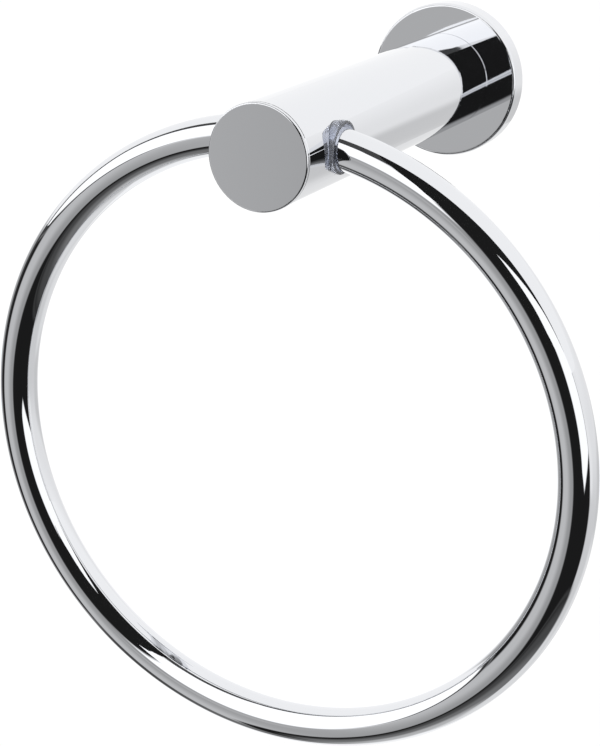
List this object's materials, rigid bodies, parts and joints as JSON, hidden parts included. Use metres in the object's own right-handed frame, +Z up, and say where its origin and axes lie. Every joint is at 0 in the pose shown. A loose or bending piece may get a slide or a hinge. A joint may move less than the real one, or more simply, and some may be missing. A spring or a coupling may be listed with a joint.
{
  "type": "towel ring",
  "caption": "Wall-mounted towel ring: a round bar ring hangs in clear bushings through a cylindrical post on a round rose and swings up to the wall.",
  "frame": {"origin": "centre of the back of the rose, in the plane of the wall", "axes": "+Y into the wall along the axis of the post, +Z up, +X to the right as seen from the front"},
  "size_m": [0.167, 0.119, 0.1815],
  "materials": {
    "polished_chrome": "mirror-polished chrome plate on brass",
    "clear_plastic": "clear moulded plastic",
    "bare_brass": "turned, bare",
    "zinc_plated_steel": "bright zinc plate",
    "stainless_steel": "machined",
    "spring_steel": "phosphated, oiled"
  },
  "bodies": {
    "holder": {"post_tube": "polished_chrome", "end_cap": "polished_chrome", "post_insert": "bare_brass", "rose": "polished_chrome", "centre_screw": "zinc_plated_steel", "centre_washer": "zinc_plated_steel", "wall_bracket": "zinc_plated_steel", "grub_screw": "stainless_steel", "bushing_left": "clear_plastic", "bushing_right": "clear_plastic"},
    "ring": {"ring": "polished_chrome", "retaining_clip_left": "spring_steel", "retaining_clip_right": "spring_steel"}
  },
  "joints": [
    {"name": "ring_swing", "type": "hinge", "parent": "holder", "child": "ring", "pos_m": [0, -0.1016, 0.001], "axis": [1, 0, 0], "range_deg": [-218, 38]}
  ]
}
